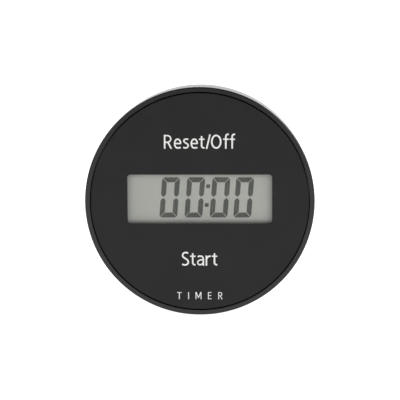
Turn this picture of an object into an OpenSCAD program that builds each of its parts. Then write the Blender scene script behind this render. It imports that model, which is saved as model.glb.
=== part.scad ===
// Round magnetic kitchen timer. The setting ring turns round a rocking face disc.
// Every module is written in a local frame: x to the right, y up the face, z from the flat back
// towards the face. upright() then stands the timer up, with its face towards -Y and its top at +Z.

/* [Case] */
// Diameter over the front edge of the setting ring
timer_d = 76; // [76:0.5:80]
// Depth from the flat back to the front of the face
timer_depth = 26; // [26:0.5:28]
// Thickness of the flat back
floor_t = 2; // [2:0.1:2.2]
// Wall thickness of the rear housing
wall_t = 1.8; // [1.6:0.1:2.2]
// Height of the rear housing's rim above the flat back
rim_z = 10; // [10:0.1:10.1]
// Radius of the edge between the back and the side
back_edge_r = 2; // [1:0.25:2.5]

/* [Setting ring] */
// Width of the ring's front band
band_w = 1.6; // [1.6:0.1:2]
// Draft angle of the ring's outer wall
ring_draft = 2; // [1:0.25:3]
// Radius of the ring's front outer edge
ring_edge_r = 0.4; // [0.3:0.1:0.8]
// Gap between the ring and the face disc
face_gap = 0.35; // [0.3:0.05:0.5]

/* [Face] */
// Thickness of the face disc
face_t = 2.2; // [2:0.1:2.4]
// Width of the display window
window_w = 47.8; // [44:0.2:49]
// Height of the display window
window_h = 16.4; // [14:0.2:17]
// Corner radius of the display window
window_corner_r = 1; // [0.5:0.25:2]
// Height of the window's centre above the face's centre
window_up = 0.8; // [0:0.1:0.8]
// Distance of each switch dome from the face's centre
dome_y = 22; // [20:0.5:24]

/* [Ring drive] */
// Gear module
gear_module = 1; // [1:1:1]
// Teeth of the internal ring gear
ring_teeth = 66; // [66:1:66]
// Teeth of the encoder pinion
pinion_teeth = 12; // [12:1:12]
// Pressure angle
pressure_angle = 25; // [25:1:25]
// Width of the gear teeth
gear_t = 3; // [2.5:0.25:3]
// Play between the teeth, measured on the pitch circles
backlash = 0.16; // [0.12:0.02:0.24]

/* [Back] */
// Radius of each magnet
magnet_r = 5; // [4:0.25:5]
// Thickness of each magnet
magnet_t = 2.5; // [2:0.25:2.5]
// Sideways distance of each magnet from the centre
magnet_x = 18.5; // [18:0.25:18.5]
// Upward distance of each magnet from the centre
magnet_y = 20.5; // [20:0.25:20.5]
// Radius of each sound hole
sound_hole_r = 0.8; // [0.5:0.1:1]

/* [Batteries] */
// Diameter of an AAA cell
cell_d = 10.5; // [10.1:0.1:10.5]
// Length of an AAA cell over its terminal
cell_l = 44.5; // [43.5:0.25:44.5]

/* [Hidden] */
$fn = 128;
ROUND = 48;
SMALL = 24;
EPS = 0.01;

// Colours
BLACK = [0.17, 0.17, 0.17];
RING_BLACK = [0.2, 0.2, 0.2];
SHELL_BLACK = [0.14, 0.14, 0.14];
FRAME_GREY = [0.32, 0.33, 0.34];
STEEL = [0.72, 0.73, 0.74];
BRASS = [0.8, 0.66, 0.36];
NATURAL = [0.86, 0.85, 0.8];
GLASS = [0.78, 0.84, 0.84, 0.4];
LCD_GREY = [0.66, 0.67, 0.63];
BOARD_GREEN = [0.12, 0.36, 0.2];
SILICONE = [0.75, 0.76, 0.74];
RUBBER = [0.1, 0.1, 0.11];
RED = [0.75, 0.12, 0.1];

// Radii, from the outside in
ring_r = timer_d / 2;
bore_r = ring_r - band_w;
face_r = bore_r - face_gap;
face_edge_r = 0.25;
flange_r = bore_r - 0.3;
gear_seat_r = bore_r - 0.2;
shoulder_r = bore_r - 1;
bearing_clearance = 0.1;
bearing_r = shoulder_r - bearing_clearance;
frame_inner_r = bearing_r - 2.5;
board_r = 31.2;
flange_inner_r = board_r + 0.4;

// Heights, from the flat back to the face
ring_z = rim_z + 0.3;
gear_z = rim_z + 1;
shoulder_z = gear_z + gear_t;
shoulder_top = 19.1;
frame_z = 14.8;
web_t = 1;
board_z = 17;
board_t = 1.2;
board_top = board_z + board_t;
flange_z = shoulder_top + bearing_clearance;
flange_t = 1.4;
face_sink = 0.05;
face_front = timer_depth - face_sink;
face_z = face_front - face_t;
pivot_z = 21.5;
ring_back_r = ring_r - (timer_depth - ring_z) * tan(ring_draft);

// Rear housing
rim_r = ring_back_r - 0.6;
base_r = rim_r - 2.1;
glide_t = 0.25;
glide_margin = 0.15;

// Housing screws, in counterbores beside the battery door
screw_x = 28.8;
screw_y = 7;
screw_r = 1;
screw_hole_r = 1.15;
screw_head_r = 1.9;
screw_head_t = 1.4;
screw_seat_z = 3;
counterbore_r = 2.1;
boss_r = 3.2;
boss_top = 9;
pillar_r = 2.4;
screw_tip = 15;
thread_bite = 0.1;

// Battery bay and its door
bay_x = 24.2;
bay_y = 11.2;
bay_wall = 1;
bay_roof_z = 13.4;
bay_roof_t = 1;
cell_r = cell_d / 2;
cell_y = 5.4;
cell_z = 7.9;
cell_shift = 1.2;
nub_r = 1.9;
nub_l = 1;
cell_edge_r = 0.5;
door_x = 26;
door_y = 12.6;
door_corner_r = 1.5;
door_play = 0.15;
door_sink = 0.15;
door_seat_z = 1.2;
tongue_y = 2.2;
tongue_w = 2.2;
tongue_t = 1;
tongue_reach = 1.6;
tongue_slot_w = tongue_w + 0.6;
latch_w = 8;
latch_slot_w = latch_w + 1;
latch_t = 0.9;
latch_hook = 0.45;
notch_r = 3.4;
notch_depth = 0.9;
grip_t = 0.5;
grip_pitch = 1.6;
grip_count = 5;
grip_w = 14;

// Battery contacts
contact_t = 0.3;
contact_w = 8.6;
contact_z0 = 4.3;
contact_z1 = 12.2;
tab_w = 2;
bump_r = 2;
coil_r = 2.6;
coil_wire_r = 0.3;
coil_turns = 3;
coil_steps = 14;
coil_sides = 6;

// Buzzer
buzzer_y = 22;
buzzer_r = 9;
buzzer_t = 0.25;
ceramic_r = 6.2;
ceramic_t = 0.2;
buzzer_seat_z = 5;
buzzer_seat_w = 0.8;
buzzer_wall = 1.1;
retainer_t = 1.4;
sound_pitch = 4;
lead_r = 0.45;
lead_x = 3;
lead_rise = 7.4;

// Magnet pockets
magnet_sink = 0.2;
magnet_gap = 0.05;
pocket_wall = 1.1;
pocket_roof = 1;

// Ring drive
ring_pitch_r = gear_module * ring_teeth / 2;
pinion_pitch_r = gear_module * pinion_teeth / 2;
pinion_y = pinion_pitch_r - ring_pitch_r;
ring_tip_r = ring_pitch_r - 0.64 * gear_module;
ring_root_r = ring_pitch_r + 1.25 * gear_module;
pinion_tip_r = pinion_pitch_r + 0.95 * gear_module;
pinion_root_r = pinion_pitch_r - 1.1 * gear_module;
pinion_trim = 0.2;
flank_steps = 3;
shaft_r = 1.5;
shaft_fit = 0.05;
shaft_z = rim_z - 1.4;
shaft_top = board_z - 0.6;
post_r = 3.2;
post_top = rim_z + 0.4;
collar_r = 2.6;
encoder_w = 10;
encoder_h = 8;
encoder_z = 14.6;

// Circuit board and what is on it
board_screw_x = 22.5;
board_screw_y = 17;
board_screw_r = 0.8;
board_screw_hole_r = 0.95;
board_screw_head_r = 1.5;
board_screw_head_t = 0.9;
board_screw_tip = frame_z + 0.3;
lug_r = 2.2;
web_opening_w = 50;
web_opening_h = 25;
chip_r = 4;
chip_t = 1.3;
crystal_r = 1;
crystal_l = 6;
capacitor_w = 3.4;
capacitor_t = 1.6;
resistor_size = [1.6, 0.8, 0.5];
resistor_count = 5;
resistor_pitch = 2.6;

// Display stack
display_w = 54;
display_h = 23;
rear_glass_h = 19.4;
film_w = 50.6;
film_h = 18.2;
glass_t = 1;
film_t = 0.15;
reflector_z = board_top + 3.7;
reflector_t = 0.2;
rear_glass_z = reflector_z + reflector_t;
front_glass_z = rear_glass_z + glass_t;
film_z = front_glass_z + glass_t;
zebra_w = 48;
zebra_t = 1.6;
zebra_y = 10.6;
holder_w = 56.4;
holder_h = 26;
holder_play = 0.2;
holder_top = film_z + 0.45;
holder_lip = 0.4;
lip_w = film_w + 0.2;
lip_h = film_h + 0.2;
peg_r = 0.9;
peg_x = 27;
peg_y = 11.5;
peg_l = 1.9;

// Face disc, its lens and its pivots
skin_t = 0.7;
pocket_z = face_front - skin_t;
pocket_margin = 0.3;
lens_flange_t = 0.3;
lens_flange_margin = 1.3;
lens_play = 0.1;
lens_sink = 0.15;
pusher_r = 2;
dome_h = 2.3;
pusher_gap = 0.05;
pin_r = 0.8;
pin_fit = 0.05;
pin_x0 = 28.7;
pin_x1 = 33.2;
face_ear_x0 = 28.6;
face_ear_x1 = 31;
frame_ear_x0 = 31.4;
ear_half_w = 2.2;
face_ear_z = pivot_z - 1.3;
frame_ear_top = pivot_z + 1.4;
pin_bite = 0.02;

// ---------- helpers ----------

// Stands the timer up: local z becomes -Y, local y becomes +Z.
module upright() rotate([90, 0, 0]) children();

// A flat ring between two radii, starting at height z.
module band(outer, inner, z, h) translate([0, 0, z]) difference() {
    cylinder(r = outer, h = h);
    translate([0, 0, -EPS]) cylinder(r = inner, h = h + 2 * EPS);
}

// A round hole or post standing at x, y from height z.
module post(x, y, z, r, h, fn = ROUND) translate([x, y, z]) cylinder(r = r, h = h, $fn = fn);

// A centred box with square edges, starting at height z.
module slab(w, h, z, t) translate([-w / 2, -h / 2, z]) cube([w, h, t]);

// A centred plate with rounded corners, starting at height z.
module rounded_slab(w, h, r, z, t) translate([0, 0, z]) linear_extrude(t) union() {
    square([w - 2 * r, h], center = true);
    square([w, h - 2 * r], center = true);
    for (sx = [-1, 1], sy = [-1, 1])
        translate([sx * (w / 2 - r), sy * (h / 2 - r)]) circle(r = r, $fn = SMALL);
}

// Repeats its children at plus and minus x and y.
module four(x, y) for (sx = [-1, 1], sy = [-1, 1]) translate([sx * x, sy * y, 0]) children();

// Points of an arc about c from angle a0 to angle a1.
function arc(c, r, a0, a1, n) =
    [for (i = [0 : n]) let (a = a0 + (a1 - a0) * i / n) c + r * [cos(a), sin(a)]];

// ---------- gear teeth ----------

function involute(a) = tan(a) * 180 / PI - a;
function involute_at(base, r) = r <= base ? 0 : involute(acos(base / r));

// Half the angle of a tooth at radius r, for n teeth, widened by extra at the pitch circle.
function half_tooth(r, n, extra) =
    let (pitch = gear_module * n / 2, base = pitch * cos(pressure_angle))
    90 / n + extra / 2 / pitch * 180 / PI + involute(pressure_angle) - involute_at(base, r);

function polar(r, a) = [r * cos(a), r * sin(a)];

// Outline with n teeth, one of them centred on the downward direction.
function gear_outline(n, radii, extra) = [
    for (k = [0 : n - 1], side = [-1, 1], i = [0 : len(radii) - 1])
        let (r = radii[side < 0 ? i : len(radii) - 1 - i])
        polar(r, -90 + 360 * k / n + side * half_tooth(r, n, extra)),
];

function radii_between(r0, r1) = [for (i = [0 : flank_steps]) r0 + (r1 - r0) * i / flank_steps];

// ---------- helix of the battery springs ----------

// One ring of points round the wire at step i of the coil, whose axis is local z.
function coil_ring(i, h) =
    let (a = 360 * i / coil_steps, z = h * i / (coil_turns * coil_steps))
    [for (j = [0 : coil_sides - 1])
        let (b = 360 * j / coil_sides, r = coil_r + coil_wire_r * cos(b))
        [r * cos(a), r * sin(a), z + coil_wire_r * sin(b)]];

module coil(h) {
    steps = coil_turns * coil_steps;
    points = [for (i = [0 : steps], p = coil_ring(i, h)) p];
    sides = [for (i = [0 : steps - 1], j = [0 : coil_sides - 1])
        let (k = (j + 1) % coil_sides, a = i * coil_sides, b = a + coil_sides)
        [a + j, a + k, b + k, b + j]];
    first = [for (j = [coil_sides - 1 : -1 : 0]) j];
    last = [for (j = [0 : coil_sides - 1]) steps * coil_sides + j];
    polyhedron(points, concat(sides, [first, last]));
}

// ---------- face ----------

module window_outline(grow, z, t)
    translate([0, window_up, 0])
        rounded_slab(window_w + 2 * grow, window_h + 2 * grow, window_corner_r, z, t);

module face_plate() color(BLACK) upright() difference() {
    union() {
        rotate_extrude() polygon(concat(
            [[0, face_z], [face_r, face_z]],
            arc([face_r - face_edge_r, face_front - face_edge_r], face_edge_r, 0, 90, 4),
            [[0, face_front]]));
        for (sy = [-1, 1])
            post(0, sy * dome_y, board_top + dome_h + pusher_gap, pusher_r,
                face_z - board_top - dome_h - pusher_gap + EPS);
        for (sx = [-1, 1])
            translate([sx * (face_ear_x0 + face_ear_x1) / 2, 0, 0])
                slab(face_ear_x1 - face_ear_x0, 2 * ear_half_w, face_ear_z, face_z - face_ear_z + EPS);
    }
    window_outline(0, face_z - EPS, face_t + 2 * EPS);
    slab(holder_w + 2 * pocket_margin, holder_h + 2 * pocket_margin,
        face_z - EPS, pocket_z - face_z + EPS);
    translate([-ring_r, 0, pivot_z]) rotate([0, 90, 0])
        cylinder(r = pin_r + pin_fit, h = 2 * ring_r, $fn = ROUND);
}

module window_lens() color(GLASS) upright() union() {
    window_outline(-lens_play, pocket_z - EPS, face_front - lens_sink - pocket_z + EPS);
    window_outline(lens_flange_margin, pocket_z - lens_flange_t, lens_flange_t);
}

module rocker_pin(side) color(STEEL) upright()
    translate([side < 0 ? -pin_x1 : pin_x0, 0, pivot_z]) rotate([0, 90, 0])
        cylinder(r = pin_r, h = pin_x1 - pin_x0, $fn = ROUND);

// Hollow silicone dome with a contact pill inside its crown.
module dome(side) color(SILICONE) upright() translate([0, side * dome_y, board_top])
    rotate_extrude($fn = ROUND) polygon([
        [0, 1], [1.2, 1], [1.2, 1.5], [1.9, 1.5], [2.7, 0], [4, 0],
        [4, 0.5], [3.3, 0.6], [2.5, dome_h], [0, dome_h]]);

// ---------- setting ring and its drive ----------

module setting_ring() color(RING_BLACK) upright() rotate_extrude() polygon(concat(
    [[gear_seat_r, ring_z], [ring_back_r - 0.3, ring_z], [ring_back_r, ring_z + 0.3]],
    arc([ring_r - ring_edge_r, timer_depth - ring_edge_r], ring_edge_r, 0, 90, 6),
    [[bore_r + 0.1, timer_depth], [bore_r, timer_depth - 0.1], [bore_r, shoulder_top],
        [shoulder_r, shoulder_top], [shoulder_r, shoulder_z], [gear_seat_r, shoulder_z]]));

module ring_gear() color(NATURAL) upright() translate([0, 0, gear_z]) linear_extrude(gear_t)
    difference() {
        circle(r = gear_seat_r);
        polygon(gear_outline(ring_teeth, radii_between(ring_tip_r, ring_root_r), backlash / 2));
    }

module glide_ring() color(BLACK) upright()
    band(rim_r - glide_margin, rim_r - wall_t + glide_margin, rim_z, glide_t);

module encoder_pinion() color(NATURAL) upright() translate([0, pinion_y, gear_z + pinion_trim / 2])
    linear_extrude(gear_t - pinion_trim) difference() {
        polygon(gear_outline(pinion_teeth,
            concat([pinion_root_r],
                radii_between(pinion_pitch_r * cos(pressure_angle), pinion_tip_r)),
            -backlash / 2));
        circle(r = shaft_r, $fn = ROUND);
    }

module encoder_shaft() color(STEEL) upright() union() {
    post(0, pinion_y, shaft_z, shaft_r, shaft_top - shaft_z);
    post(0, pinion_y, gear_z + gear_t - pinion_trim / 2, collar_r, encoder_z - gear_z - gear_t);
}

module encoder_body() color(FRAME_GREY) upright() difference() {
    translate([0, pinion_y, 0]) slab(encoder_w, encoder_h, encoder_z, board_z - encoder_z);
    post(0, pinion_y, encoder_z - EPS, shaft_r + shaft_fit, shaft_top - encoder_z + 0.1);
}

// ---------- frame, board and display ----------

module middle_frame() color(FRAME_GREY) upright() difference() {
    union() {
        band(bearing_r, frame_inner_r, frame_z, flange_z - frame_z + EPS);
        band(flange_r, flange_inner_r, flange_z, flange_t);
        difference() {
            translate([0, 0, frame_z]) cylinder(r = frame_inner_r + EPS, h = web_t);
            slab(web_opening_w, web_opening_h, frame_z - EPS, web_t + 2 * EPS);
            translate([0, pinion_y, 0])
                slab(encoder_w + 1, encoder_h + 1, frame_z - EPS, web_t + 2 * EPS);
            translate([0, buzzer_y, 0])
                slab(2 * lead_x + 4, lead_x + 1, frame_z - EPS, web_t + 2 * EPS);
        }
        four(screw_x, screw_y) post(0, 0, boss_top, pillar_r, board_z - boss_top);
        four(board_screw_x, board_screw_y) post(0, 0, frame_z, lug_r, board_z - frame_z);
        for (sx = [-1, 1])
            translate([sx * (frame_ear_x0 + pin_x1) / 2, 0, 0])
                slab(pin_x1 - frame_ear_x0, 2 * ear_half_w, flange_z, frame_ear_top - flange_z);
    }
    four(screw_x, screw_y) post(0, 0, boss_top - EPS, screw_r - thread_bite, screw_tip - boss_top);
    four(board_screw_x, board_screw_y)
        post(0, 0, board_screw_tip, board_screw_r - thread_bite, board_z, SMALL);
    translate([-ring_r, 0, pivot_z]) rotate([0, 90, 0])
        cylinder(r = pin_r - pin_bite, h = 2 * ring_r, $fn = ROUND);
}

module circuit_board() color(BOARD_GREEN) upright() difference() {
    translate([0, 0, board_z]) cylinder(r = board_r, h = board_t);
    four(board_screw_x, board_screw_y)
        post(0, 0, board_z - EPS, board_screw_hole_r, board_t + 2 * EPS, SMALL);
    four(peg_x, peg_y) post(0, 0, board_z - EPS, peg_r, board_t + 2 * EPS, SMALL);
}

module board_screws() color(STEEL) upright() four(board_screw_x, board_screw_y) union() {
    post(0, 0, board_screw_tip, board_screw_r, board_top - board_screw_tip + EPS, SMALL);
    difference() {
        post(0, 0, board_top, board_screw_head_r, board_screw_head_t, SMALL);
        for (a = [0, 90])
            rotate(a) slab(1.6, 0.4, board_top + board_screw_head_t / 2, board_screw_head_t);
    }
}

module control_chip() color(RUBBER) upright() translate([-10, 3, board_z]) mirror([0, 0, 1])
    rotate_extrude($fn = ROUND) polygon([[0, 0], [chip_r, 0], [chip_r - 0.4, chip_t / 2],
        [chip_r - 1.4, chip_t - 0.15], [0, chip_t]]);

module quartz_crystal() color(STEEL) upright()
    translate([4, 6, board_z - crystal_r]) rotate([0, 90, 0])
        cylinder(r = crystal_r, h = crystal_l, $fn = SMALL);

module capacitor() color(BRASS) upright() translate([8, 0, 0])
    rounded_slab(capacitor_w, capacitor_w, 0.6, board_z - capacitor_t, capacitor_t);

module resistors() color(RUBBER) upright() for (i = [0 : resistor_count - 1])
    translate([4 + i * resistor_pitch, -6, board_z - resistor_size.z]) cube(resistor_size);

module lcd_front_glass() color(GLASS) upright() slab(display_w, display_h, front_glass_z, glass_t);

module lcd_rear_glass() color(GLASS) upright()
    slab(display_w, rear_glass_h, rear_glass_z, glass_t);

module lcd_polariser() color(LCD_GREY) upright() slab(film_w, film_h, film_z, film_t);

module lcd_reflector() color(STEEL) upright() slab(film_w, film_h, reflector_z, reflector_t);

module lcd_holder() color(BLACK) upright() union() {
    difference() {
        slab(holder_w, holder_h, board_top, holder_top - board_top);
        slab(display_w + holder_play, display_h + holder_play, board_top - EPS,
            holder_top - holder_lip - board_top + EPS);
        slab(lip_w, lip_h, board_top, timer_depth);
    }
    four(peg_x, peg_y) difference() {
        post(0, 0, board_top - peg_l, peg_r, peg_l + EPS, SMALL);
        post(0, 0, board_top - peg_l - EPS, peg_r / 3, peg_l, SMALL);
    }
}

module zebra_strip(side) color(RUBBER) upright()
    translate([0, side * zebra_y, 0]) slab(zebra_w, zebra_t, board_top, front_glass_z - board_top);

// ---------- rear housing ----------

module housing_shell() rotate_extrude() polygon(concat(
    [[0, 0]],
    arc([base_r - back_edge_r, back_edge_r], back_edge_r, -90, 0, 8),
    [[rim_r, rim_z], [rim_r - wall_t, rim_z], [base_r - wall_t, floor_t], [0, floor_t]]));

module rear_housing() color(SHELL_BLACK) upright() difference() {
    union() {
        housing_shell();
        slab(2 * (bay_x + bay_wall), 2 * (bay_y + bay_wall), floor_t - EPS,
            bay_roof_z + bay_roof_t - floor_t);
        four(screw_x, screw_y) post(0, 0, floor_t - EPS, boss_r, boss_top - floor_t + EPS);
        four(magnet_x, magnet_y)
            post(0, 0, floor_t - EPS, magnet_r + pocket_wall,
                magnet_sink + magnet_t + pocket_roof - floor_t);
        post(0, pinion_y, floor_t - EPS, post_r, post_top - floor_t);
        post(0, buzzer_y, floor_t - EPS, buzzer_r + buzzer_wall,
            buzzer_seat_z + retainer_t - floor_t);
    }
    slab(2 * bay_x, 2 * bay_y, -EPS, bay_roof_z + EPS);
    rounded_slab(2 * door_x, 2 * door_y, door_corner_r, -EPS, door_seat_z + EPS);
    for (sy = [-1, 1])
        translate([-bay_x - bay_wall, sy * tongue_y, 0])
            slab(2 * bay_wall + 1.4, tongue_slot_w, floor_t, 3);
    for (sy = [-1, 1])
        translate([-(door_x + bay_x) / 2, sy * tongue_y, 0])
            slab(door_x - bay_x + EPS, tongue_slot_w, -EPS, floor_t + 2 * EPS);
    translate([(door_x + bay_x) / 2, 0, 0])
        slab(door_x - bay_x + EPS, latch_slot_w, -EPS, floor_t + 2 * EPS);
    translate([bay_x + bay_wall, 0, 0]) slab(3 * bay_wall, latch_slot_w, floor_t, 3);
    translate([door_x, 0, -EPS]) cylinder(r = notch_r, h = notch_depth, $fn = ROUND);
    four(screw_x, screw_y) {
        post(0, 0, -EPS, counterbore_r, screw_seat_z + EPS);
        post(0, 0, -EPS, screw_hole_r, boss_top + 2 * EPS);
    }
    four(magnet_x, magnet_y) post(0, 0, -EPS, magnet_r + magnet_gap, magnet_sink + magnet_t + EPS);
    post(0, buzzer_y, floor_t, buzzer_r - buzzer_seat_w, buzzer_seat_z);
    post(0, buzzer_y, buzzer_seat_z, buzzer_r + magnet_gap, buzzer_seat_z);
    post(0, buzzer_y, -EPS, sound_hole_r, floor_t + 2 * EPS, SMALL);
    for (a = [0 : 60 : 300])
        translate([0, buzzer_y, 0]) rotate(a)
            post(sound_pitch, 0, -EPS, sound_hole_r, floor_t + 2 * EPS, SMALL);
    post(0, pinion_y, shaft_z - 0.2, shaft_r + shaft_fit, post_top);
    for (sx = [-1, 1], sy = [-1, 1])
        translate([sx * (bay_x - contact_t / 2), sy * cell_y, 0])
            slab(2 * contact_t, tab_w + 0.6, bay_roof_z - EPS, bay_roof_t + 2 * EPS);
}

module battery_door() color(SHELL_BLACK) upright() union() {
    difference() {
        rounded_slab(2 * (door_x - door_play), 2 * (door_y - door_play), door_corner_r,
            door_sink, door_seat_z - door_sink);
        for (i = [0 : grip_count - 1])
            translate([door_x - 4 - i * grip_pitch, 0, 0])
                slab(grip_t, grip_w, 0, door_sink + grip_t / 2);
    }
    for (sy = [-1, 1]) translate([-door_x + door_play, sy * tongue_y, 0]) {
        translate([tongue_t / 2, 0, 0])
            slab(tongue_t, tongue_w, door_seat_z - EPS, floor_t + 0.2 + tongue_t - door_seat_z);
        translate([-tongue_reach / 2 + EPS, 0, 0])
            slab(tongue_reach, tongue_w, floor_t + 0.2, tongue_t);
    }
}

module door_latch() color(SHELL_BLACK) upright() union() {
    translate([door_x - door_play - latch_t / 2 - 0.1, 0, 0])
        slab(latch_t, latch_w, door_seat_z, floor_t + 2 - door_seat_z);
    translate([door_x - door_play - 0.1 + latch_hook / 2 - EPS, 0, 0])
        slab(latch_hook, latch_w, floor_t + 0.15, 0.8);
}

module magnet(sx, sy) color(STEEL) upright()
    post(sx * magnet_x, sy * magnet_y, magnet_sink, magnet_r, magnet_t);

// Pan-head screws with a cross recess, driven from the back.
module housing_screws() color(STEEL) upright() four(screw_x, screw_y) difference() {
    union() {
        post(0, 0, screw_seat_z - screw_head_t, screw_head_r, screw_head_t);
        post(0, 0, screw_seat_z - EPS, screw_r, screw_tip - screw_seat_z - 0.2);
    }
    for (a = [45, 135])
        rotate(a) slab(2.4, 0.5, screw_seat_z - screw_head_t - EPS, screw_head_t / 2);
}

// ---------- buzzer ----------

module buzzer_disc() color(BRASS) upright() union() {
    post(0, buzzer_y, buzzer_seat_z, buzzer_r, buzzer_t);
    post(0, buzzer_y, buzzer_seat_z + buzzer_t - EPS, ceramic_r, ceramic_t);
}

module buzzer_retainer() color(NATURAL) upright() translate([0, buzzer_y, 0])
    band(buzzer_r, buzzer_r - buzzer_seat_w, buzzer_seat_z + buzzer_t, retainer_t - buzzer_t);

// Two insulated wires that rise from the disc, bend inwards and end on the board.
module buzzer_leads() color(RED) upright() for (sx = [-1, 1]) {
    start_z = buzzer_seat_z + buzzer_t + ceramic_t - EPS;
    bend_z = start_z + lead_rise;
    outer = sx * (lead_x + 1);
    translate([outer, buzzer_y, start_z]) cylinder(r = lead_r, h = lead_rise, $fn = SMALL);
    translate([outer, buzzer_y, bend_z]) sphere(r = lead_r, $fn = SMALL);
    translate([outer, buzzer_y, bend_z]) rotate([0, -sx * 45, 0])
        cylinder(r = lead_r, h = 2 * sqrt(2) / 2, $fn = SMALL);
    translate([outer - sx, buzzer_y, bend_z + 1]) sphere(r = lead_r, $fn = SMALL);
    translate([outer - sx, buzzer_y, bend_z + 1])
        cylinder(r = lead_r, h = board_z - bend_z - 1, $fn = SMALL);
}

// ---------- batteries ----------

// One cell along x, its terminal towards +x when side is 1.
module battery(side) color(side > 0 ? BRASS : STEEL) upright()
    translate([side * (cell_shift - cell_l / 2), side * cell_y, cell_z]) rotate([0, side * 90, 0])
        rotate_extrude($fn = ROUND) polygon(concat(
            [[0, 0]],
            arc([cell_r - cell_edge_r, cell_edge_r], cell_edge_r, -90, 0, 4),
            arc([cell_r - cell_edge_r, cell_l - nub_l - cell_edge_r], cell_edge_r, 0, 90, 4),
            [[nub_r, cell_l - nub_l], [nub_r, cell_l - 0.2], [nub_r - 0.2, cell_l], [0, cell_l]]));

// A sheet contact at one end of the bay, with or without its solder tab.
module contact_plate(end, y, w) translate([end * (bay_x - contact_t / 2), y, 0])
    slab(contact_t, w, contact_z0, contact_z1 - contact_z0);

module contact_tab(end, y) translate([end * (bay_x - contact_t / 2), y, 0])
    slab(contact_t, tab_w, contact_z1 - EPS, board_z - contact_z1 + EPS);

// The raised bump that meets a cell's terminal.
module contact_bump(end, y) {
    reach = bay_x - contact_t - (cell_l / 2 + cell_shift);
    translate([end * (bay_x - contact_t + EPS), y, cell_z]) rotate([0, -end * 90, 0])
        cylinder(r1 = bump_r + 0.4, r2 = bump_r, h = reach, $fn = ROUND);
}

// The coil that presses on a cell's flat end.
module contact_coil(end, y) {
    start = bay_x - contact_t - coil_wire_r / 2;
    reach = start - coil_wire_r - (cell_l / 2 - cell_shift);
    translate([end * start, y, cell_z]) rotate([0, -end * 90, 0])
        coil(reach);
}

module positive_contact() color(STEEL) upright() union() {
    contact_plate(-1, -cell_y, contact_w);
    contact_tab(-1, -cell_y);
    contact_bump(-1, -cell_y);
}

module negative_contact() color(STEEL) upright() union() {
    contact_plate(-1, cell_y, contact_w);
    contact_tab(-1, cell_y);
    contact_coil(-1, cell_y);
}

module bridge_contact() color(STEEL) upright() union() {
    contact_plate(1, 0, 2 * cell_y + contact_w);
    contact_bump(1, cell_y);
    contact_coil(1, -cell_y);
}

// ---------- nodes ----------

face_plate();
window_lens();
setting_ring();
ring_gear();
glide_ring();
middle_frame();
rear_housing();
battery_door();
door_latch();
magnet(-1, 1);  // magnet_1
magnet(1, 1);  // magnet_2
magnet(-1, -1);  // magnet_3
magnet(1, -1);  // magnet_4
housing_screws();
circuit_board();
board_screws();
control_chip();
quartz_crystal();
capacitor();
resistors();
lcd_front_glass();
lcd_rear_glass();
lcd_polariser();
lcd_reflector();
lcd_holder();
zebra_strip(1);  // zebra_strip_upper
zebra_strip(-1);  // zebra_strip_lower
dome(1);  // reset_dome
dome(-1);  // start_dome
rocker_pin(-1);  // rocker_pin_left
rocker_pin(1);  // rocker_pin_right
encoder_body();
encoder_shaft();
encoder_pinion();
buzzer_disc();
buzzer_retainer();
buzzer_leads();
battery(1);  // battery_1
battery(-1);  // battery_2
positive_contact();
negative_contact();
bridge_contact();
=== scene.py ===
"""Round magnetic kitchen timer: finishes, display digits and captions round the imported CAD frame.

The face looks along -Y, up is +Z, and the flat back lies at Y = 0. Places are in metres. The sizes
of the digits and the captions are given in millimetres and multiplied by MM where they are used.
"""

import math

import bmesh
import bpy
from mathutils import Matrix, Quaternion, Vector


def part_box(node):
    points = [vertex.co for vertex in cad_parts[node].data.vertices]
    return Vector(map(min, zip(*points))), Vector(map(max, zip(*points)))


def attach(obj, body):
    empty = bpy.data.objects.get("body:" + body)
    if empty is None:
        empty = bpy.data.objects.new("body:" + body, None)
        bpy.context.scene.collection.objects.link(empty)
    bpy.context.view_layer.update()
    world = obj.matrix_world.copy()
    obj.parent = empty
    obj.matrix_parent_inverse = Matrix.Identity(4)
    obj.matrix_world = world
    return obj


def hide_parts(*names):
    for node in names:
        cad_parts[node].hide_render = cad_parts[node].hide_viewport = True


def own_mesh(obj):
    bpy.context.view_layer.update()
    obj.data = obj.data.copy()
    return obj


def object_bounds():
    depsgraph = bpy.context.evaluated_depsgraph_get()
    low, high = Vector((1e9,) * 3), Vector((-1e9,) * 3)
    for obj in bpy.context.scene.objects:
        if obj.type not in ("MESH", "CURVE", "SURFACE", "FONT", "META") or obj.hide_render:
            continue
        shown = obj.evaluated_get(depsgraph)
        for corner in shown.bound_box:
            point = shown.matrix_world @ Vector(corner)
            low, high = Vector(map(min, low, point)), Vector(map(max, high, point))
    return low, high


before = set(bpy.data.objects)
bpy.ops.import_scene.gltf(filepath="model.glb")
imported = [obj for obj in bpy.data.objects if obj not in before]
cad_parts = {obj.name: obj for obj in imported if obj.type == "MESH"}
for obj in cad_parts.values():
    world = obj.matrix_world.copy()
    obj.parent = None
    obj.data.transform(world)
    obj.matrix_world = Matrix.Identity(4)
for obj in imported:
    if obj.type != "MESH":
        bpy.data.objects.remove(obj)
cad_low, cad_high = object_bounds()
MM = 0.001


# ---------- building blocks of a node tree ----------

# The values that most of a noise lies between, and those between which two colours blend
NOISE_MIDDLE = (0.3, 0.7)
TONE_STEPS = (0.35, 0.65)


def grey(value):
    """A neutral colour."""
    return (value, value, value)


def greys(steps):
    """Neutral colours at positions from 0 to 1."""
    return [(position, grey(value)) for position, value in steps]


def along(tree, place, axis):
    """One coordinate of a place or direction."""
    split = tree.nodes.new("ShaderNodeSeparateXYZ")
    tree.links.new(place, split.inputs[0])
    return split.outputs[axis]


def map_range(tree, value, start, end, low=0.0, high=1.0):
    """Maps start..end to low..high, and holds the last value beyond either end."""
    node = tree.nodes.new("ShaderNodeMapRange")
    sockets = (("From Min", start), ("From Max", end), ("To Min", low), ("To Max", high))
    for socket, number in sockets:
        node.inputs[socket].default_value = number
    tree.links.new(value, node.inputs["Value"])
    return node.outputs["Result"]


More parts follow.
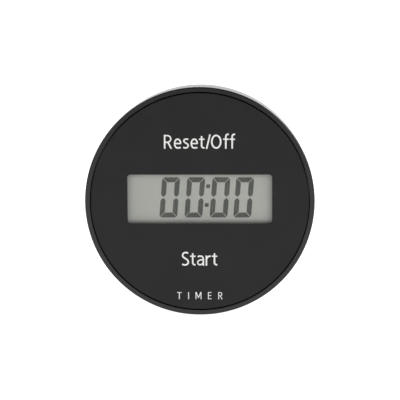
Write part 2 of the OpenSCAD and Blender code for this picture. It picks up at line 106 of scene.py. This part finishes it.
def ramp(tree, value, stops, hold=False):
    """Colours along a value from 0 to 1: blended, or held as bands."""
    node = tree.nodes.new("ShaderNodeValToRGB")
    node.color_ramp.interpolation = "CONSTANT" if hold else "LINEAR"
    elements = node.color_ramp.elements
    while len(elements) < len(stops):
        elements.new(0.5)
    for element, (position, colour) in zip(elements, stops):
        element.position = position
        element.color = (*colour, 1)
    tree.links.new(value, node.inputs[0])
    return node.outputs["Color"]


def product(tree, first, second):
    """Two colours multiplied."""
    node = tree.nodes.new("ShaderNodeVectorMath")
    node.operation = "MULTIPLY"
    tree.links.new(first, node.inputs[0])
    tree.links.new(second, node.inputs[1])
    return node.outputs["Vector"]


def noise(tree, place, scale, detail=3.0, stretch=None):
    """Noise over the object; scale is features per metre."""
    if stretch:
        mapping = tree.nodes.new("ShaderNodeMapping")
        mapping.inputs["Scale"].default_value = stretch
        tree.links.new(place, mapping.inputs["Vector"])
        place = mapping.outputs["Vector"]
    texture = tree.nodes.new("ShaderNodeTexNoise")
    texture.inputs["Scale"].default_value = scale
    texture.inputs["Detail"].default_value = detail
    tree.links.new(place, texture.inputs["Vector"])
    return texture.outputs["Fac"]


def set_colour(tree, shader, pattern, dark, light):
    """Colours a surface from dark to light by a pattern."""
    tones = ramp(tree, pattern, list(zip(TONE_STEPS, (dark, light))))
    tree.links.new(tones, shader.inputs["Base Color"])


def set_gloss(tree, shader, pattern, rough):
    """Varies the roughness between its two values by a noise."""
    tree.links.new(map_range(tree, pattern, *NOISE_MIDDLE, *rough), shader.inputs["Roughness"])


def set_relief(tree, shader, height, depth):
    """Relief of that depth in metres."""
    node = tree.nodes.new("ShaderNodeBump")
    node.inputs["Strength"].default_value = 1.0
    node.inputs["Distance"].default_value = depth
    tree.links.new(height, node.inputs["Height"])
    tree.links.new(node.outputs["Normal"], shader.inputs["Normal"])


def new_material(name, **sockets):
    """A Principled material with its constant sockets set, and the tools to build on it."""
    material = bpy.data.materials.new(name)
    material.use_nodes = True
    tree = material.node_tree
    shader = tree.nodes["Principled BSDF"]
    for socket, value in sockets.items():
        shader.inputs[socket.replace("_", " ")].default_value = value
    place = tree.nodes.new("ShaderNodeTexCoord").outputs["Object"]
    return material, tree, shader, place


# ---------- camera, world, lights and floor ----------

CAMERA_AZIMUTH = math.radians(1.4)
CAMERA_ELEVATION = math.radians(8)
CAMERA_ROLL = math.radians(-0.2)
CAMERA_DISTANCE = 0.8
CAMERA_CLIP = (0.05, 20)
# Width of the camera's sensor in millimetres
SENSOR = 36
# Width that the view takes in at the ring's front edge, and the view's centre from the ring's
VIEW_WIDTH = 132.1 * MM
AIM_RIGHT = 0.09 * MM
AIM_UP = 0.57 * MM

# (position, brightness) from the horizon, 0, to straight up, 1
SKY = ((0.12, 1.0), (0.9, 0.55))
# (position, brightness) from behind the camera, 0, to behind the object, 1
ROOM = ((0.08, 0.2), (0.42, 1.0))

SOFTBOX_SIZE = 0.5
# Each softbox's name, place and watts
SOFTBOXES = (("softbox_right", (0.75, -0.85, 0.45), 4.0),
             ("softbox_left", (-0.75, -0.85, 0.5), 2.35))

FLOOR_HALF = 4
FLOOR_GREY = 0.5
FLOOR_ROUGH = 0.9
# From front to back, the floor's glow rises between these two strengths over these two Y
FLOOR_GLOW = (0.05, 1.05)
FLOOR_FADE = (-1.0, -0.3)


def make_camera():
    """A long lens in front of the ring's front edge, a little above and to the right."""
    low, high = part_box("setting_ring")
    target = Vector(((low.x + high.x) / 2 + AIM_RIGHT, low.y, (low.z + high.z) / 2 + AIM_UP))
    back = Vector((math.sin(CAMERA_AZIMUTH) * math.cos(CAMERA_ELEVATION),
                   -math.cos(CAMERA_AZIMUTH) * math.cos(CAMERA_ELEVATION),
                   math.sin(CAMERA_ELEVATION)))
    data = bpy.data.cameras.new("camera")
    data.sensor_width = SENSOR
    data.lens = SENSOR * CAMERA_DISTANCE / VIEW_WIDTH
    data.clip_start, data.clip_end = CAMERA_CLIP
    camera = bpy.data.objects.new("camera", data)
    camera.location = target + back * CAMERA_DISTANCE
    camera.rotation_mode = "QUATERNION"
    camera.rotation_quaternion = ((-back).to_track_quat("-Z", "Y")
                                  @ Quaternion((0, 0, 1), CAMERA_ROLL))
    bpy.context.scene.collection.objects.link(camera)
    bpy.context.scene.camera = camera


def make_world():
    """White studio: bright all round, dimmer overhead and dim behind the camera."""
    world = bpy.data.worlds.new("studio")
    bpy.context.scene.world = world
    world.use_nodes = True
    tree = world.node_tree
    direction = tree.nodes.new("ShaderNodeTexCoord").outputs["Generated"]
    height = map_range(tree, along(tree, direction, "Z"), 0, 1)
    depth = map_range(tree, along(tree, direction, "Y"), -1, 1)
    brightness = product(tree, ramp(tree, height, greys(SKY)), ramp(tree, depth, greys(ROOM)))
    tree.links.new(brightness, tree.nodes["Background"].inputs["Color"])


def make_softbox(name, place, watts):
    """A square area light that faces the object."""
    data = bpy.data.lights.new(name, "AREA")
    data.shape = "SQUARE"
    data.size = SOFTBOX_SIZE
    data.energy = watts
    light = bpy.data.objects.new(name, data)
    light.location = place
    light.rotation_mode = "QUATERNION"
    light.rotation_quaternion = (-Vector(place)).to_track_quat("-Z", "Y")
    bpy.context.scene.collection.objects.link(light)


def make_floor():
    """A plain white floor at the ring's lowest point, which glows less towards the front."""
    half, z = FLOOR_HALF, cad_low.z
    mesh = bpy.data.meshes.new("floor")
    mesh.from_pydata([(-half, -half, z), (half, -half, z), (half, half, z), (-half, half, z)],
                     [], [(0, 1, 2, 3)])
    floor = bpy.data.objects.new("floor", mesh)
    bpy.context.scene.collection.objects.link(floor)
    material, tree, shader, place = new_material(
        "floor_white", Base_Color=(*grey(FLOOR_GREY), 1), Roughness=FLOOR_ROUGH,
        Specular_IOR_Level=0.0, Emission_Color=(1, 1, 1, 1))
    glow = map_range(tree, along(tree, place, "Y"), *FLOOR_FADE, *FLOOR_GLOW)
    tree.links.new(glow, shader.inputs["Emission Strength"])
    mesh.materials.append(material)


# ---------- kinds of finish ----------

def grained(name, dark, light, patch, rough, grain, depth, stretch=None, **sockets):
    """Mottled colour, uneven gloss and fine relief: patch and grain are features per metre."""
    material, tree, shader, place = new_material(name, **sockets)
    set_colour(tree, shader, noise(tree, place, patch, detail=4.0), dark, light)
    set_gloss(tree, shader, noise(tree, place, patch * 2, detail=5.0, stretch=stretch), rough)
    set_relief(tree, shader, noise(tree, place, grain, detail=2.0, stretch=stretch), depth)
    return material


def banded(name, axis, bands, length, patch, rough, grain, depth, **sockets):
    """Bands of colour along an axis, from -length to length about the object's middle."""
    material, tree, shader, place = new_material(name, **sockets)
    run = map_range(tree, along(tree, place, axis), -length, length)
    tree.links.new(ramp(tree, run, bands, hold=True), shader.inputs["Base Color"])
    set_gloss(tree, shader, noise(tree, place, patch), rough)
    set_relief(tree, shader, noise(tree, place, grain), depth)
    return material


def lined(name, direction, dark, light, pitch, patch, rough, depth, **sockets):
    """Fine parallel lines, about pitch metres apart: a wave repeats every pi / 10 / scale."""
    material, tree, shader, place = new_material(name, **sockets)
    wave = tree.nodes.new("ShaderNodeTexWave")
    wave.bands_direction = direction
    wave.inputs["Scale"].default_value = math.pi / 10 / pitch
    tree.links.new(place, wave.inputs["Vector"])
    lines = wave.outputs["Fac"]
    set_colour(tree, shader, lines, dark, light)
    set_gloss(tree, shader, noise(tree, place, patch), rough)
    set_relief(tree, shader, lines, depth)
    return material


def painted_shade_foot(material, foot, top, steps):
    """Paints shade onto a finish, darker towards its foot: steps are (part of the way up,
    brightness).
    """
    tree = material.node_tree
    shader = tree.nodes["Principled BSDF"]
    colour = shader.inputs["Base Color"].links[0].from_socket
    place = tree.nodes.new("ShaderNodeTexCoord").outputs["Object"]
    rise = map_range(tree, along(tree, place, "Z"), foot, top)
    # Painted shade: the finish's colour multiplied darker towards the foot
    painted_shade_colour = product(tree, colour, ramp(tree, rise, greys(steps)))
    tree.links.new(painted_shade_colour, shader.inputs["Base Color"])
    return material


# ---------- finishes ----------

# How far the lens reaches below the window's opening, and the height of the strip of painted shade
# at its foot
LENS_FLANGE = 1.3 * MM
PAINTED_SHADE_HEIGHT = 1.5 * MM
# Brightness of the painted shade from its foot, 0, to its top, 1
PAINTED_SHADE_STEPS = ((0.0, 0.3), (0.22, 0.48), (0.45, 0.74), (0.7, 0.86), (1.0, 1.0))

# How far the cells' bands run to either side of the object's middle, and where each band starts
JACKET_REACH = 23.5 * MM
JACKET_TIN = (0.62, 0.62, 0.6)
JACKET_BLUE = (0.03, 0.1, 0.22)
JACKET_SILVER = (0.55, 0.56, 0.58)
JACKET_BANDS = ((0.0, JACKET_TIN), (0.06, JACKET_BLUE), (0.2, JACKET_SILVER), (0.8, JACKET_BLUE),
                (0.94, JACKET_TIN))


def make_materials():
    """One finish for each material slot of the record."""
    window_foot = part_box("window_lens")[0].z + LENS_FLANGE
    plastic = dict(patch=90, grain=5200)
    metal = dict(patch=260, grain=2600, Metallic=1.0)
    return {
        "face_plastic": grained("face_satin", grey(0.0098), grey(0.0118), rough=(0.4, 0.48),
                                depth=4e-6, Specular_IOR_Level=0.22, **plastic),
        "ring_plastic": grained("ring_gloss", grey(0.0055), grey(0.0072), rough=(0.17, 0.21),
                                depth=1.5e-6, Specular_IOR_Level=0.42, **plastic),
        "shell_plastic": grained("shell_textured", grey(0.014), grey(0.018), rough=(0.5, 0.62),
                                 depth=2.2e-5, Specular_IOR_Level=0.35, patch=70, grain=2400),
        "frame_plastic": grained("frame_grey", grey(0.075), grey(0.095), rough=(0.45, 0.6),
                                 depth=8e-6, **plastic),
        "encoder_plastic": grained("encoder_grey", grey(0.11), grey(0.14), rough=(0.35, 0.5),
                                   depth=5e-6, **plastic),
        "holder_plastic": grained("holder_black", grey(0.012), grey(0.016), rough=(0.55, 0.65),
                                  depth=6e-6, Specular_IOR_Level=0.25, **plastic),
        "natural_acetal": grained("acetal_natural", (0.66, 0.64, 0.58), (0.74, 0.72, 0.66),
                                  rough=(0.3, 0.42), depth=5e-6, Subsurface_Weight=0.15,
                                  Subsurface_Scale=0.0008, **plastic),
        "black_acetal": grained("acetal_black", grey(0.010), grey(0.013), rough=(0.4, 0.5),
                                depth=5e-6, Specular_IOR_Level=0.3, **plastic),
        "clear_window": grained("window_clear", grey(0.30), grey(0.34), rough=(0.02, 0.05),
                                depth=2e-7, Alpha=0.07, **plastic),
        "display_glass": grained("glass_clear", (0.62, 0.68, 0.66), (0.66, 0.72, 0.7),
                                 rough=(0.02, 0.05), depth=2e-7, Alpha=0.14, **plastic),
        # The display film gets painted shade, darker towards the window's foot
        "lcd_film": painted_shade_foot(
            grained("lcd_film_grey", (0.382, 0.391, 0.355), (0.396, 0.4, 0.364),
                    rough=(0.4, 0.5), depth=2e-6, Specular_IOR_Level=0.3, **plastic),
            window_foot, window_foot + PAINTED_SHADE_HEIGHT, PAINTED_SHADE_STEPS),
        "reflector_film": grained("reflector_silver", grey(0.7), grey(0.78), patch=600,
                                  rough=(0.35, 0.5), grain=6000, depth=6e-6, Metallic=1.0),
        "nickel_magnet": grained("nickel_plate", (0.40, 0.39, 0.375), (0.47, 0.46, 0.44),
                                 rough=(0.16, 0.3), depth=3e-6, **metal),
        "screw_steel": grained("screw_zinc", (0.50, 0.51, 0.52), (0.62, 0.63, 0.64),
                               rough=(0.25, 0.42), depth=5e-6, **metal),
        "pin_steel": grained("pin_steel", (0.54, 0.54, 0.55), (0.62, 0.62, 0.63),
                             rough=(0.15, 0.28), depth=2e-6, stretch=(1, 1, 8), **metal),
        "contact_spring_steel": grained("contact_nickel", (0.62, 0.6, 0.57), (0.7, 0.68, 0.65),
                                        rough=(0.2, 0.34), depth=3e-6, **metal),
        "tin_can": grained("crystal_can", (0.6, 0.6, 0.61), (0.7, 0.7, 0.71), rough=(0.2, 0.35),
                           depth=3e-6, **metal),
        "buzzer_brass": grained("buzzer_brass", (0.66, 0.47, 0.2), (0.76, 0.57, 0.27),
                                rough=(0.22, 0.4), depth=4e-6, **metal),
        "black_epoxy": grained("epoxy_black", grey(0.008), grey(0.014), rough=(0.18, 0.4),
                               depth=1.2e-5, patch=400, grain=1500),
        "capacitor_body": grained("capacitor_tan", (0.42, 0.22, 0.05), (0.52, 0.3, 0.09),
                                  rough=(0.4, 0.55), depth=8e-6, patch=500, grain=3500),
        "lead_sleeve": grained("lead_red", (0.42, 0.02, 0.015), (0.52, 0.035, 0.025),
                               rough=(0.35, 0.5), depth=6e-6, **plastic),
        "dome_silicone": grained("silicone_pale", (0.5, 0.51, 0.49), (0.58, 0.59, 0.57),
                                 rough=(0.55, 0.7), depth=8e-6, Subsurface_Weight=0.2,
                                 Subsurface_Scale=0.001, **plastic),
        "board_laminate": lined("board_green", "DIAGONAL", (0.012, 0.07, 0.028),
                                (0.022, 0.115, 0.045), pitch=1.2 * MM, patch=800,
                                rough=(0.25, 0.4), depth=1.2e-5),
        "zebra_rubber": lined("zebra_lines", "X", grey(0.02), (0.5, 0.42, 0.4), pitch=0.4 * MM,
                              patch=800, rough=(0.5, 0.7), depth=8e-6),
        "cell_jacket": banded("cell_jacket", "X", JACKET_BANDS, JACKET_REACH, patch=625,
                              rough=(0.22, 0.32), grain=2500, depth=8e-7, Metallic=0.35),
    }


def make_ink():
    """Dark grey of a lit display segment."""
    return grained("lcd_ink", (0.034, 0.039, 0.03), (0.042, 0.046, 0.038), patch=200,
                   rough=(0.4, 0.5), grain=5000, depth=1e-6, Specular_IOR_Level=0.3)


def make_print():
    """White of the printed captions."""
    return grained("print_white", (0.7, 0.7, 0.68), (0.76, 0.76, 0.74), patch=500,
                   rough=(0.45, 0.55), grain=7000, depth=3e-6, Specular_IOR_Level=0.3)


def finish_nodes(materials):
    """Gives every CAD node the finish of its slot."""
    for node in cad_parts.values():
        for place in node.material_slots:
            place.material = materials[place.material.name]


# ---------- curves, thin prisms and new pieces ----------

# Depth that ink and print reach into the surface that carries them
EMBED = 0.005 * MM


def arc(cx, cy, rx, ry, start, end, steps=14):
    """Points of an elliptical arc, angles in degrees."""
    return [(cx + rx * math.cos(math.radians(start + (end - start) * i / steps)),
             cy + ry * math.sin(math.radians(start + (end - start) * i / steps)))
            for i in range(steps + 1)]


def flow(points, steps=5):
    """A smooth path through the points (a Catmull-Rom curve)."""
    ends = [points[0], *points, points[-1]]
    path = []
    for p0, p1, p2, p3 in zip(ends, ends[1:], ends[2:], ends[3:]):
        for i in range(steps):
            t = i / steps
            path.append(tuple(
                0.5 * (2 * b + (c - a) * t + (2 * a - 5 * b + 4 * c - d) * t ** 2
                       + (3 * b - a - 3 * c + d) * t ** 3)
                for a, b, c, d in zip(p0, p1, p2, p3)))
    return path + [points[-1]]


def add_prism(shape, outline, y_back, y_front):
    """A closed prism between two depths; outline is a list of (x, z), either way round."""
    area = sum(a[0] * b[1] - b[0] * a[1] for a, b in zip(outline, outline[1:] + outline[:1]))
    if area < 0:
        outline = outline[::-1]
    front = [shape.verts.new((x, y_front, z)) for x, z in outline]
    back = [shape.verts.new((x, y_back, z)) for x, z in outline]
    shape.faces.new(front)
    shape.faces.new(back[::-1])
    for i, a in enumerate(front):
        j = (i + 1) % len(front)
        shape.faces.new([a, back[i], back[j], front[j]])


def to_mesh(name, shape):
    """Turns finished bmesh work into a mesh."""
    mesh = bpy.data.meshes.new(name)
    shape.to_mesh(mesh)
    shape.free()
    return mesh


def make_piece(name, mesh, body, material):
    """An object of that mesh and finish, riding on a body."""
    mesh.materials.append(material)
    piece = bpy.data.objects.new(name, mesh)
    bpy.context.scene.collection.objects.link(piece)
    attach(piece, body)
    return piece


# ---------- display, in millimetres ----------

# A digit's height and width, the digits' centres and their segments' width
DIGIT_H = 13.4
DIGIT_W = 5.92
DIGIT_X = (-9.97, -1.67, 6.66, 14.51)
DIGIT_Z = 1.19
STROKE = 1.65
SLANT = math.tan(math.radians(4.5))
# Outer corner's radius, gap at a mitred joint and half the gap between the two side segments,
# which would be left if their tips were sharp
CORNER = 1.05
MITRE_GAP = 0.17
TIP_GAP = 0.16
# A side segment's blunt tip: half its width and what is cut off, as shares of the stroke
TIP_FLAT = 0.08
TIP_RISE = 0.06
# The colon's dots: their centres and their side
COLON_X = 2.46
COLON_Z = (4.93, -1.35)
DOT = 1.28
# Thickness of the ink
INK_T = 0.02


def digit_segments():
    """The six lit segments of a nought, upright and centred."""
    half_w, half_h = DIGIT_W / 2, DIGIT_H / 2
    inner_x, inner_z = half_w - STROKE, half_h - STROKE
    gap = MITRE_GAP / math.sqrt(2)
    corner = (half_w - CORNER, half_h - CORNER, CORNER, CORNER)
    top_half = arc(*corner, 90, 50, 2) + [(inner_x - gap, inner_z)]
    top = [(-x, z) for x, z in top_half[::-1]] + top_half
    tip_x, tip_z = half_w - STROKE / 2, TIP_GAP + STROKE * TIP_RISE
    side = arc(*corner, 40, 0, 2) + [
        (half_w, TIP_GAP + STROKE / 2),
        (tip_x + STROKE * TIP_FLAT, tip_z), (tip_x - STROKE * TIP_FLAT, tip_z),
        (inner_x, TIP_GAP + STROKE / 2), (inner_x, inner_z - gap)]
    upper = [top, side, [(-x, z) for x, z in side]]
    return upper + [[(x, -z) for x, z in outline] for outline in upper]


def make_display(ink):
    """Digits 00:00 as a thin layer of ink on the front of the display's film."""
    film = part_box("lcd_polariser")[0].y
    shape = bmesh.new()

    def add(outline, x, z):
        slanted = [((x + px + (z + pz - DIGIT_Z) * SLANT) * MM, (z + pz) * MM)
                   for px, pz in outline]
        add_prism(shape, slanted, film + EMBED, film - INK_T * MM)

    for x in DIGIT_X:
        for segment in digit_segments():
            add(segment, x, DIGIT_Z)
    half = DOT / 2
    for z in COLON_Z:
        add([(-half, -half), (half, -half), (half, half), (-half, half)], COLON_X, z)
    piece = make_piece("display_digits", to_mesh("display_digits", shape), "case", ink)


# ---------- captions ----------

# Width of upright and of level strokes, as shares of the capitals' height
STEM = 0.112
BAR = 0.098
# How much wider the letters and their spacing are set than drawn
SPREAD = 1.015
# A mitre reaches no further than the half width divided by this
MITRE_LIMIT = 0.5
# Thickness of the print in millimetres
PRINT_T = 0.03

# Each word's letters, with where each letter starts in units of the capitals' height
RESET = (("R", 0), ("e", 0.692), ("s", 1.323), ("e", 1.863), ("t", 2.464), ("slash", 2.942),
         ("O", 3.298), ("f", 4.164), ("f", 4.612))
START = (("S", 0), ("t", 0.6), ("a", 1.069), ("r", 1.7), ("t", 2.138))
TIMER = (("T", 0), ("I", 1.5), ("M", 2.5), ("E", 4.2), ("R", 5.6))
# Each caption's piece, word, capitals' height, left edge and base line in millimetres
CAPTIONS = (
    ("caption_reset_off", RESET, 4.62, -11.75, 17.62),
    ("caption_start", START, 4.62, -6.09, -21.4),
    ("caption_timer", TIMER, 2.4, -7.6, -32.7),
)


def glyphs():
    """Letters as centre lines in units of the capitals' height: (kind, width, points).

    A line has two square ends, a loop closes on itself, and a leaning stroke is cut level.
    """
    m = STEM / 2
    x_height = 0.68
    stem = ("line", STEM, [(m, 0), (m, 1)])
    cross = ("line", BAR, [(0, x_height), (0.385, x_height)])
    return {
        "R": [stem,
              ("line", BAR, [(m, 0.942), *arc(0.25, 0.705, 0.235, 0.237, 90, -90), (m, 0.468)]),
              ("leaning", STEM, [(0.28, 0.468), (0.52, 0)])],
        "e": [("line", BAR, [(m, 0.37), (0.485, 0.37)]),
              ("line", STEM * 0.97, [*arc(0.275, 0.37, 0.21, 0.318, 0, 285, 26), (0.41, 0.068),
                                     (0.485, 0.096)])],
        "s": [("line", STEM * 0.95, flow([
            (0.385, 0.668), (0.3, 0.69), (0.2, 0.688), (0.105, 0.64), (0.085, 0.535),
            (0.16, 0.445), (0.29, 0.365), (0.378, 0.27), (0.365, 0.15), (0.27, 0.068),
            (0.15, 0.06), (0.035, 0.098)]))],
        "t": [cross,
              ("line", STEM, [(0.188, 0.9), *arc(0.33, 0.22, 0.142, 0.155, 180, 270),
                              (0.385, 0.075)])],
        "slash": [("leaning", STEM * 0.95, [(0.055, -0.01), (0.3, 1.02)])],
        "O": [("loop", STEM * 1.02, arc(0.38, 0.5, 0.312, 0.45, 0, 360, 40)[:-1])],
        "f": [cross,
              ("line", STEM, [(0.186, 0), *arc(0.33, 0.86, 0.144, 0.17, 180, 90),
                              (0.39, 1.022)])],
        "S": [("line", STEM, flow([
            (0.465, 0.9), (0.36, 0.945), (0.24, 0.942), (0.125, 0.88), (0.075, 0.75),
            (0.125, 0.62), (0.25, 0.53), (0.38, 0.44), (0.465, 0.32), (0.46, 0.18),
            (0.37, 0.08), (0.235, 0.055), (0.12, 0.07), (0.04, 0.105)]))],
        "a": [("line", STEM, [*flow([(0.075, 0.635), (0.16, 0.68), (0.27, 0.692), (0.38, 0.66),
                                     (0.45, 0.57), (0.468, 0.44)]), (0.468, 0.0)]),
              ("line", BAR, flow([(0.46, 0.43), (0.33, 0.425), (0.19, 0.385), (0.09, 0.3),
                                  (0.075, 0.19), (0.14, 0.085), (0.25, 0.062), (0.36, 0.1),
                                  (0.44, 0.175), (0.468, 0.24)]))],
        "r": [("line", STEM, [(m, 0), (m, 0.735)]),
              ("line", STEM, flow([(m, 0.44), (0.1, 0.55), (0.165, 0.63), (0.25, 0.675),
                                   (0.36, 0.685)]))],
        "T": [("line", BAR, [(0, 0.94), (0.6, 0.94)]), ("line", STEM, [(0.3, 0), (0.3, 0.9)])],
        "I": [stem],
        "M": [stem, ("line", STEM, [(0.75, 0), (0.75, 1)]),
              ("leaning", STEM, [(0.08, 1), (0.4075, 0.2)]),
              ("leaning", STEM, [(0.735, 1), (0.4075, 0.2)])],
        "E": [stem, ("line", BAR, [(m, 0.942), (0.48, 0.942)]),
              ("line", BAR, [(m, 0.51), (0.44, 0.51)]),
              ("line", BAR, [(m, 0.058), (0.49, 0.058)])],
    }


def leaning_outline(width, points):
    """Outline of a straight leaning stroke, cut level at both ends."""
    (x0, y0), (x1, y1) = points
    half = width / 2 * math.hypot(x1 - x0, y1 - y0) / abs(y1 - y0)
    return [(x0 - half, y0), (x0 + half, y0), (x1 + half, y1), (x1 - half, y1)]


def stroke_edges(points, width, closed):
    """Pairs of points on the left and right edges of a stroke, mitred where it bends."""
    last = len(points) - 1
    edges = []
    for i, (x, y) in enumerate(points):
        before = points[i - 1] if closed else points[max(i - 1, 0)]
        after = points[(i + 1) % len(points)] if closed else points[min(i + 1, last)]
        arriving = Vector((x - before[0], y - before[1])).normalized()
        leaving = Vector((after[0] - x, after[1] - y)).normalized()
        along_stroke = (arriving + leaving).normalized()
        reach = width / 2
        if arriving.length and leaving.length:
            reach /= max(MITRE_LIMIT, arriving.dot(along_stroke))
        across = Vector((-along_stroke.y, along_stroke.x)) * reach
        edges.append(((x + across.x, y + across.y), (x - across.x, y - across.y)))
    return edges


def add_stroke(shape, kind, width, points, to_frame, y_back, y_front):
    """One closed solid stroke; to_frame maps glyph units to (x, z) in metres."""
    if kind == "leaning":
        outline = [to_frame(point) for point in leaning_outline(width, points)]
        add_prism(shape, outline, y_back, y_front)
        return
    closed = kind == "loop"
    rows = []
    for left, right in stroke_edges(points, width, closed):
        (ax, az), (bx, bz) = to_frame(left), to_frame(right)
        rows.append([shape.verts.new(corner) for corner in (
            (ax, y_front, az), (bx, y_front, bz), (bx, y_back, bz), (ax, y_back, az))])
    for a, b in list(zip(rows, rows[1:])) + ([(rows[-1], rows[0])] if closed else []):
        for i in range(4):
            j = (i + 1) % 4
            shape.faces.new([a[i], a[j], b[j], b[i]])
    if not closed:
        shape.faces.new(rows[0][::-1])
        shape.faces.new(rows[-1])


def stroke_mesh(name, strokes, y_back, y_front):
    """Closed strokes, each with its own map to the frame."""
    shape = bmesh.new()
    for to_frame, (kind, width, points) in strokes:
        add_stroke(shape, kind, width, points, to_frame, y_back, y_front)
    bmesh.ops.recalc_face_normals(shape, faces=shape.faces)
    return to_mesh(name, shape)


def union(name, meshes):
    """One clean skin round closed solids that overlap, from two meshes of them."""
    scene = bpy.context.scene
    whole, rest = (bpy.data.objects.new(name, mesh) for mesh in meshes)
    for piece in (whole, rest):
        scene.collection.objects.link(piece)
    join = whole.modifiers.new("union", "BOOLEAN")
    join.operation = "UNION"
    join.solver = "EXACT"
    join.use_self = True
    join.object = rest
    solid = bpy.data.meshes.new_from_object(
        whole.evaluated_get(bpy.context.evaluated_depsgraph_get()))
    for piece in (whole, rest):
        bpy.data.objects.remove(piece)
    return solid


def letter_place(capital, left, base, offset):
    """The map from one letter's glyph units to (x, z) in metres."""
    def to_frame(point):
        return ((left + (offset + point[0]) * capital * SPREAD) * MM,
                (base + point[1] * capital) * MM)
    return to_frame


def make_captions(white):
    """Generic control captions, printed on the face as thin solid strokes."""
    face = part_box("face_plate")[0].y
    letters = glyphs()
    for name, word, capital, left, base in CAPTIONS:
        strokes = [(letter_place(capital, left, base, offset), stroke)
                   for letter, offset in word for stroke in letters[letter]]
        meshes = [stroke_mesh(name + "_strokes", part, face + EMBED, face - PRINT_T * MM)
                  for part in (strokes[:1], strokes[1:])]
        make_piece(name, union(name + "_whole", meshes), "face", white)


# ---------- switch domes ----------

# Each dome's piece, and the CAD node that it stands for
DOMES = (("silicone_dome_reset", "reset_dome"), ("silicone_dome_start", "start_dome"))
DOME_STEPS = 48
DOME_CREASE = math.radians(35)


def dome_profile():
    """Section of a hollow dome with a contact pill, as shares of its radius and height."""
    skirt = [(0.675, 0.0), (1.0, 0.0), (1.0, 0.18), (0.97, 0.22), (0.86, 0.25)]
    wall = flow([(0.8, 0.3), (0.72, 0.62), (0.64, 0.88), (0.56, 0.98), (0.46, 1.0)], 4)
    hollow = [(0.0, 0.43), (0.28, 0.43), (0.3, 0.46), (0.3, 0.65), (0.46, 0.65), (0.5, 0.6)]
    return skirt + wall + [(0.0, 1.0)] + hollow


def turned_mesh(name, profile, x, z):
    """A closed profile of (radius, y) turned about the line along Y through (x, z)."""
    shape = bmesh.new()
    turns = [2 * math.pi * i / DOME_STEPS for i in range(DOME_STEPS)]
    rows = [[shape.verts.new((x + radius * math.cos(turn), y, z + radius * math.sin(turn)))
             for turn in (turns if radius else turns[:1])]
            for radius, y in profile]
    for a, b in zip(rows, rows[1:] + rows[:1]):
        for i in range(DOME_STEPS):
            j = (i + 1) % DOME_STEPS
            corners = [a[i % len(a)], a[j % len(a)], b[j % len(b)], b[i % len(b)]]
            face = list(dict.fromkeys(corners))
            if len(face) > 2:
                shape.faces.new(face)
    bmesh.ops.recalc_face_normals(shape, faces=shape.faces)
    for face in shape.faces:
        face.smooth = True
    mesh = to_mesh(name, shape)
    mesh.set_sharp_from_angle(angle=DOME_CREASE)
    return mesh


def make_dome(name, node, silicone):
    """A silicone dome on the board in place of its CAD node; the real one flattens when the face
    rocks onto it, this one keeps its shape.
    """
    low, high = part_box(node)
    x, z = (low.x + high.x) / 2, (low.z + high.z) / 2
    radius, base, height = (high.x - low.x) / 2, high.y, high.y - low.y
    profile = [(share_r * radius, base - share_h * height) for share_r, share_h in dome_profile()]
    dome = make_piece(name, turned_mesh(name, profile, x, z), "case", silicone)
    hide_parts(node)
    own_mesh(dome)


# ---------- build ----------

make_camera()
make_world()
make_floor()
for name, place, watts in SOFTBOXES:
    make_softbox(name, place, watts)
materials = make_materials()
finish_nodes(materials)
for name, node in DOMES:
    make_dome(name, node, materials["dome_silicone"])
make_display(make_ink())
make_captions(make_print())
bpy.context.scene.view_settings.view_transform = "Standard"
